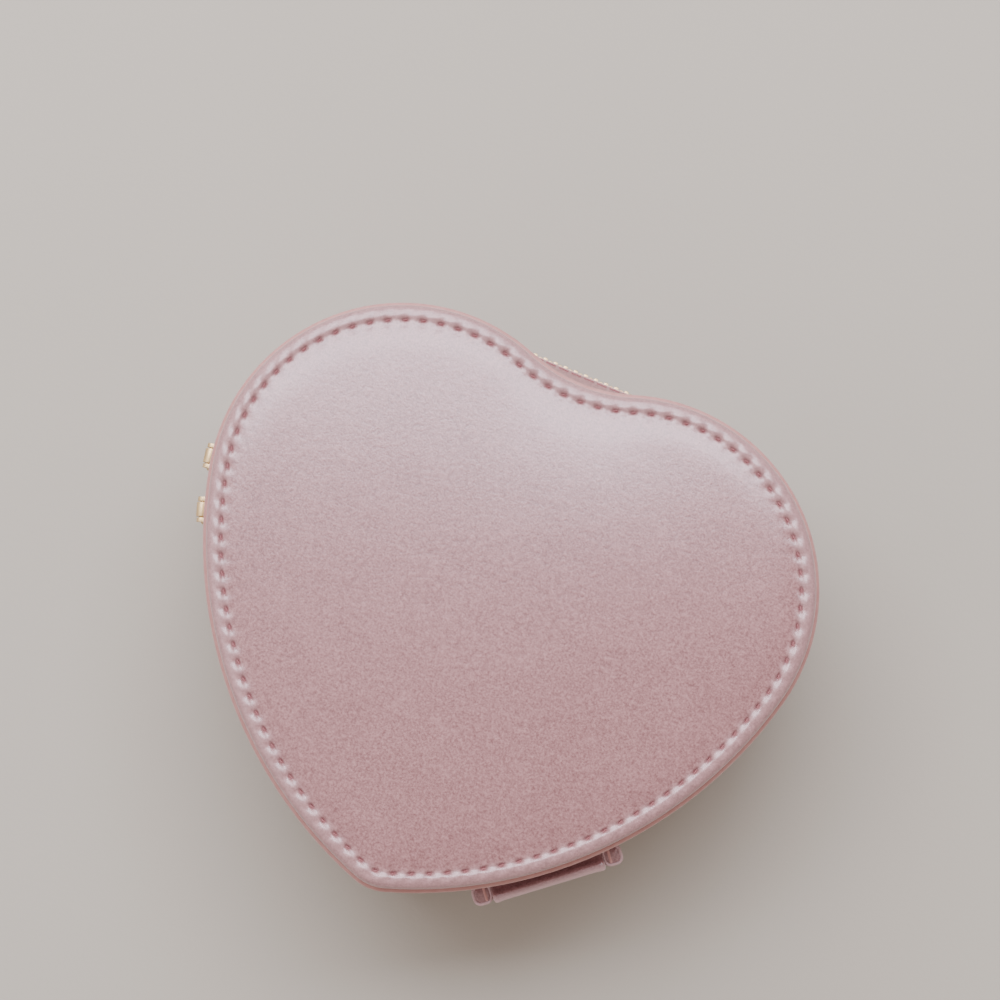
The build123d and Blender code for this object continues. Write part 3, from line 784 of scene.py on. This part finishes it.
# ---------------------------------------------------------------- zip end tabs
# The ends of each zip half are bound with a small velvet tab. Its turned edge stands round it as a
# loop made paler by painted highlight, and the tape's folded end lies inside.
TAB_CENTRE, TAB_ACROSS, TAB_REACH, TAB_LOOP, TAB_CORNER = 85.25, 3.9, 4.0, 0.62, 1.45
TAB_SPACE, TAB_POINTS, LOOP_STEPS = 0.1, 40, 6
FILL_PLAY, FILL_CORNER = 0.75, 1.05
FOLD_ACROSS, FOLD_PLAY, FOLD_CORNER, FOLD_OFFSET = 0.75, 1.0, 0.36, 0.55
STRAP_LENGTH = 21.5
TAB_LEVELS = {"base": (28.1, 32.8), "lid": (33.2, 37.9)}
LEAST_INSET, LEAST_CORNER = 0.001, 0.05


def tab_block(middle, reach, across, corner, section, looped=False):
    """Verts and faces of an upright block with round corners, from (inset, height) points that run from its
    underside to its top. A looped section runs back down the inside, and leaves the block open."""
    size, verts = TAB_POINTS, []
    for inset, level in section:
        half_x, half_y, round_off = reach / 2 - inset, across / 2 - inset, max(corner - inset, LEAST_CORNER)
        for k in range(size):
            angle = 2 * math.pi * (k + 0.5) / size
            x = math.copysign(half_x - round_off, math.cos(angle)) + round_off * math.cos(angle)
            y = math.copysign(half_y - round_off, math.sin(angle)) + round_off * math.sin(angle)
            place = middle + hinge_out * x + hinge_along * y
            verts.append((place[0] * MM, place[1] * MM, level * MM))
    faces = ring_faces(len(section), size, looped)
    if not looped:
        faces += [tuple(reversed(range(size))), tuple(range((len(section) - 1) * size, len(section) * size))]
    return verts, faces


def joined(name, parts, finish):
    """Several vert and face lists as one piece."""
    verts, faces = [], []
    for part_verts, part_faces in parts:
        faces += [tuple(index + len(verts) for index in face) for face in part_faces]
        verts += part_verts
    piece = new_piece(name, verts, faces, finish)
    face_outwards(piece)
    return piece


tab_along = STRAP_LENGTH / 2 + TAB_SPACE + TAB_ACROSS / 2
half = TAB_LOOP / 2
turns = [math.pi * n / LOOP_STEPS for n in range(LOOP_STEPS + 1)]
for part_name, (bottom, top) in TAB_LEVELS.items():
    loop = [(half - half * math.cos(t), top - half + half * math.sin(t)) for t in turns]
    loop += [(half + half * math.cos(t), bottom + half - half * math.sin(t)) for t in turns]
    loop = [(max(inset, LEAST_INSET), level) for inset, level in loop]
    fill = [(0.0, bottom + 0.3), (0.0, top - 0.26), (0.35, top - 0.12)]
    fold = [(0.0, bottom + 0.5), (0.0, top - 0.30), (0.12, top - 0.12), (0.30, top - 0.06)]
    loops, fills, folds = [], [], []
    for end in (-1, 1):
        middle = flank_centre + hinge_out * TAB_CENTRE + hinge_along * end * tab_along
        fold_middle = middle - hinge_along * end * FOLD_OFFSET
        loops.append(tab_block(middle, TAB_REACH, TAB_ACROSS, TAB_CORNER, loop, looped=True))
        fills.append(tab_block(middle, TAB_REACH - FILL_PLAY, TAB_ACROSS - FILL_PLAY, FILL_CORNER, fill))
        folds.append(tab_block(fold_middle, TAB_REACH - FOLD_PLAY, FOLD_ACROSS, FOLD_CORNER, fold))
    tab_loops = joined(f"{part_name}_zip_end_loops", loops, case_velvet)
    tab_fills = joined(f"{part_name}_zip_end_fills", fills, case_velvet)
    tab_folds = joined(f"{part_name}_zip_end_tape", folds, twill)
    # Painted highlight makes the loops paler, and a faint painted shade darkens the fills inside them.
    set_mark(tab_loops, "puff", [1.2] * len(tab_loops.data.vertices))
    set_mark(tab_fills, "seam", [0.05] * len(tab_fills.data.vertices))
    for piece, finish_slot in (
        (tab_loops, "case_velvet"), (tab_fills, "case_velvet"), (tab_folds, "zip_tape"),
    ):
        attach(piece, part_name)
    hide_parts(f"{part_name}_zip_end_tabs")

# ---------------------------------------------------------------- cloth hinge
# A folded strap of velvet, glued to both walls, bows outwards across the zip's gap. A strip of the
# lining closes the same gap from the inside.
def cloth_strip(name, line, half_length, thickness, finish, hem=0.0, steps=24):
    """A strip whose cross-section follows the line of (distance from the flank's centre, height), drawn out
    along the hinge. Its ends are rounded, and a hem swells its long edges."""
    line = np.array(line, float)
    run = np.concatenate([[0.0], np.cumsum(np.linalg.norm(np.diff(line, axis=0), axis=1))])
    places = np.linspace(0, run[-1], 41)
    line = np.stack([np.interp(places, run, line[:, c]) for c in (0, 1)], axis=1)
    ahead = np.gradient(line, axis=0)
    ahead /= np.linalg.norm(ahead, axis=1)[:, None]
    outwards = np.stack([-ahead[:, 1], ahead[:, 0]], axis=1)
    verts, faces, rows = [], [], len(line)
    for face_sign in (1, -1):
        for step in range(steps + 1):
            share = 2 * step / steps - 1
            at = half_length * math.copysign(1 - (1 - abs(share)) ** 1.6, share)
            past_end = max((abs(at) - half_length + thickness / 2) / (thickness / 2), 0.0)
            thin = math.sqrt(max(1 - past_end**2, 0.0))
            swell = 1 + hem * math.exp(-(((half_length - abs(at)) / 0.9 - 0.6) ** 2))
            for (distance, height), (out, up) in zip(line, outwards):
                offset = face_sign * thickness / 2 * thin * swell
                place = flank_centre + hinge_out * (distance + out * offset) + hinge_along * at
                verts.append((place[0] * MM, place[1] * MM, (height + up * offset) * MM))
    half = (steps + 1) * rows
    for step in range(steps):
        for k in range(rows - 1):
            a, b = step * rows + k, (step + 1) * rows + k
            faces += [(a, b, b + 1, a + 1), (half + a, half + a + 1, half + b + 1, half + b)]
        for k in (0, rows - 1):
            a, b = step * rows + k, (step + 1) * rows + k
            faces.append((a, b, half + b, half + a))
    piece = new_piece(name, verts, faces, finish)
    shape = bmesh.new()
    shape.from_mesh(piece.data)
    bmesh.ops.remove_doubles(shape, verts=shape.verts, dist=0.000002)
    bmesh.ops.holes_fill(shape, edges=shape.edges, sides=0)
    bmesh.ops.recalc_face_normals(shape, faces=shape.faces)
    shape.to_mesh(piece.data)
    shape.free()
    return piece


STRAP_THICKNESS, STRAP_OVERLAP, STRAP_HEM = 1.0, 0.25, 0.25
CREST_AWAY, CREST_WIDTH, CREST_REACH = 6.0, 0.75, 85.9
GROOVE_SHADE_REACH, GROOVE_SHADE_WIDTH = 85.6, 1.5
strap_half = [
    (83.70, 28.3), (84.30, 28.3), (85.20, 27.9), (85.95, 27.1), (86.45, 26.8), (86.85, 27.4),
    (86.95, 29.0), (86.70, 31.0),
]
strap_knots = strap_half + [(86.62, ZIP_HEIGHT)] + mirrored(reversed(strap_half))
strap_line = smooth_profile(strap_knots, 3)
strap_reach = STRAP_LENGTH / 2 + STRAP_OVERLAP
hinge_strap = cloth_strip(
    "velvet_hinge_strap", strap_line, strap_reach, STRAP_THICKNESS, case_velvet, hem=STRAP_HEM
)
places = np.array([v.co / MM for v in hinge_strap.data.vertices])
distances = (places[:, :2] - flank_centre) @ hinge_out
# Painted highlight along the strap's outer crests, and painted shade that darkens it towards the wall, in the
# groove under the lid.
crest_highlight = np.exp(-(((np.abs(places[:, 2] - ZIP_HEIGHT) - CREST_AWAY) / CREST_WIDTH) ** 2))
set_mark(hinge_strap, "puff", 1.7 * crest_highlight * (distances > CREST_REACH))
set_mark(hinge_strap, "seam", 0.25 * np.clip((GROOVE_SHADE_REACH - distances) / GROOVE_SHADE_WIDTH, 0, 1))
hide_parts("hinge_strap")
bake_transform(hinge_strap)

LINING_HALF, LINING_THICKNESS, LINING_SAG = 13.9, 0.75, 0.3
LINING_OFFSET, LINING_FOOT, LINING_RISE = -2.82, 27.9, 10.2
lining_line = []
for t in np.linspace(0, 1, 13):
    reach = SIDE_R + LINING_OFFSET - LINING_SAG * math.sin(math.pi * t)
    lining_line.append((reach, LINING_FOOT + LINING_RISE * t))
lining_velvet = velvet(
    "lining_velvet", (0.300, 0.118, 0.130), (0.500, 0.262, 0.272), (0.60, 0.38, 0.39), gloss=0.5, nap=0.8
)
hinge_lining = cloth_strip("lining_hinge_strip", lining_line, LINING_HALF, LINING_THICKNESS, lining_velvet)
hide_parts("hinge_lining")
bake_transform(hinge_lining)

# ---------------------------------------------------------------- bottom cover
# The resting face is the same velvet, turned up over a thin pad to the piping. It is flat where it
# rests, and rolls up round its edge.
def heart_plate(name, knots, finish, middle_level, closed_by, rings=10, count=720):
    """A plate whose edge follows (outward, up) knots. Rings that shrink to its middle, at middle_level,
    close its shown face, and a flat fan at the level closed_by closes its back."""
    edge = smooth_profile(knots, 3)
    verts = []
    for out, up in edge:
        verts += [(x * MM, y * MM, up * MM) for x, y in heart_line(out, count)[0]]
    inner = heart_line(edge[-1][0], count)[0]
    for k in range(1, rings):
        share = k / rings
        level = edge[-1][1] + (middle_level - edge[-1][1]) * (1 - (1 - share) ** 2)
        verts += [(x * MM, y * MM, level * MM) for x, y in inner + (HEART_MIDDLE - inner) * share]
    loops = len(verts) // count
    verts.append((*(HEART_MIDDLE * MM), middle_level * MM))
    verts.append((*(HEART_MIDDLE * MM), closed_by * MM))
    faces = ring_faces(loops, count) + fan_faces((loops - 1) * count, count, loops * count)
    faces += [tuple(reversed(face)) for face in fan_faces(0, count, loops * count + 1)]
    piece = new_piece(name, verts, faces, finish)
    face_outwards(piece)
    return piece


BOTTOM_KNOTS = [
    (-2.20, 2.86), (-1.20, 2.84), (-0.62, 2.60), (-0.50, 1.90), (-0.62, 1.10), (-1.10, 0.42),
    (-2.00, 0.10), (-3.60, 0.0), (-6.60, 0.0),
]
bottom_cover = heart_plate("base_velvet_bottom", BOTTOM_KNOTS, case_velvet, 0.0, closed_by=2.86)
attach(bottom_cover, "base")
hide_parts("base_bottom_cover", "base_bottom_pad")

# ---------------------------------------------------------------- lining
# Deeper rose velvet with a short even pile, glued to the boards inside the lid and the base. It is
# rolled over the walls' inner edges, and the base's floor has a thin pad under it.
LIP_KNOTS = [
    (-4.36, 27.40), (-4.05, 28.16), (-3.20, 28.36), (-2.30, 28.34), (-2.06, 28.18), (-2.30, 28.06),
    (-3.30, 28.04), (-3.66, 27.60),
]
LINING_KNOTS = {
    "base": [
        (-3.70, 5.08), (-4.30, 5.20), (-4.40, 8.0), (-4.40, 25.0), *LIP_KNOTS, (-3.65, 25.0),
        (-3.65, 8.0),
    ],
    "lid": [
        (-3.70, 44.30), (-4.30, 44.15), (-4.40, 43.2), (-4.40, 40.0), *mirrored(LIP_KNOTS),
        (-3.65, 40.0), (-3.65, 43.2),
    ],
}
for part_name, knots in LINING_KNOTS.items():
    wall_lining = band(f"{part_name}_lining_wall", smooth_profile(knots, 2), lining_velvet)
    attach(wall_lining, part_name)
    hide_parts(f"{part_name}_wall_lining")
FLOOR_KNOTS = [(-5.6, 5.08), (-4.80, 5.10), (-4.72, 5.40), (-4.90, 5.85), (-5.60, 6.08), (-7.50, 6.16)]
floor_pad = heart_plate("base_floor_cushion", FLOOR_KNOTS, lining_velvet, 6.18, closed_by=5.08)
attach(floor_pad, "base")
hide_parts("base_floor_pad")
CEILING_KNOTS = [
    (-5.6, 44.34), (-4.80, 44.30), (-4.72, 44.05), (-4.90, 43.72), (-5.60, 43.58), (-7.50, 43.54),
]
lid_ceiling = heart_plate("lid_lining_ceiling", CEILING_KNOTS, lining_velvet, 43.54, closed_by=44.34)
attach(lid_ceiling, "lid")
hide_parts("lid_top_lining")

# ---------------------------------------------------------------- boards
# Grey pressed board stiffens every wall and panel. The cloth and the lining are glued to its faces and
# hide it.
board = Finish("grey_board", Roughness=0.9)
pulp = board.noise(500.0, 4.0, 0.7)
board.feed("Base Color", board.mix(pulp, (0.28, 0.25, 0.22), (0.42, 0.39, 0.35)))
board.bump(pulp, 0.0001, 0.5)
for node in ("base_wall_board", "lid_wall_board", "base_bottom_board", "lid_top_board"):
    dress(node, board)

# ---------------------------------------------------------------- dividers
# Thin boards wrapped in the lining velvet, glued upright to the floor. They part the base into two
# front trays, two side trays and the ring rolls' bay.
for node in ("cross_divider", "centre_divider", "side_divider_left", "side_divider_right"):
    wrapped = eased(node, f"{node}_wrapped", lining_velvet, 0.55, steps=4, sharp=50.0)
    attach(wrapped, "base")
    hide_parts(node)

# ---------------------------------------------------------------- ring rolls
# Foam bolsters wrapped in the lining velvet, with their ends tucked in. They sit side by side, and a
# ring's band is gripped between two of them.
ROLL_LENGTH, ROLL_WIDTH, ROLL_HEIGHT = 46.6, 7.2, 12.0
ROLL_STATIONS, ROLL_POINTS = 64, 36
TUCK_LENGTH, TUCK_SHARE = 3.2, 0.45
FOLD_LENGTH, FOLD_DEPTH, FOLD_WAVES = 3.5, 0.035, 4


def ring_bolster(name, middle_y, floor, seed):
    """One bolster: flat underneath, crowned on top, tucked in at both ends, with a few soft folds there."""
    ends = np.random.default_rng(seed).uniform(-1, 1, (2, FOLD_WAVES))
    verts = []
    for i in range(ROLL_STATIONS + 1):
        x = -ROLL_LENGTH / 2 * math.cos(math.pi * i / ROLL_STATIONS)
        from_end = min(x + ROLL_LENGTH / 2, ROLL_LENGTH / 2 - x)
        drawn_in = 1 - min(from_end / TUCK_LENGTH, 1.0)
        tuck = 1 - TUCK_SHARE + TUCK_SHARE * math.sqrt(1 - drawn_in**2)
        fade = math.exp(-((from_end / FOLD_LENGTH) ** 2))
        folds = ends[0 if x < 0 else 1]
        for k in range(ROLL_POINTS):
            angle = 2 * math.pi * k / ROLL_POINTS
            side, top = math.cos(angle), math.sin(angle)
            ripple = sum(fold * math.cos((n + 3) * angle + 5 * fold) for n, fold in enumerate(folds))
            crease = 1 + FOLD_DEPTH * fade * ripple
            y = ROLL_WIDTH / 2 * math.copysign(abs(side) ** 0.80, side) * tuck * crease
            z = ROLL_HEIGHT / 2 * math.copysign(abs(top) ** 0.85, top)
            z = z * (0.35 * tuck + 0.65) * crease if z > 0 else z
            verts.append((x * MM, (middle_y + y) * MM, (floor + ROLL_HEIGHT / 2 + z) * MM))
    faces = ring_faces(ROLL_STATIONS + 1, ROLL_POINTS)
    faces += [tuple(range(ROLL_POINTS)), tuple(range(ROLL_STATIONS * ROLL_POINTS, len(verts)))]
    roll = new_piece(name, verts, faces, lining_velvet)
    face_outwards(roll)
    return roll


for index in range(1, 6):
    low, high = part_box(f"ring_roll_{index}")
    roll = ring_bolster(f"ring_bolster_{index}", (low[1] + high[1]) / 2 / MM, low[2] / MM, index)
    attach(roll, "base")
    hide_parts(f"ring_roll_{index}")

# ---------------------------------------------------------------- mirror
# Silvered glass cut to a heart. A thin rim, plated like the zip, holds it to the lining inside the lid.
# Both keep their CAD shapes and get finishes of their own.
silver = Finish("silvered_glass", Metallic=1.0)
silver_haze = silver.noise(30.0, 3.0)
silver.feed("Base Color", silver.mix(silver_haze, (0.86, 0.88, 0.89), (0.92, 0.93, 0.94)))
silver.feed("Roughness", 0.02 + silver_haze * 0.03)
dress("mirror_glass", silver)
dress("mirror_rim", gold)
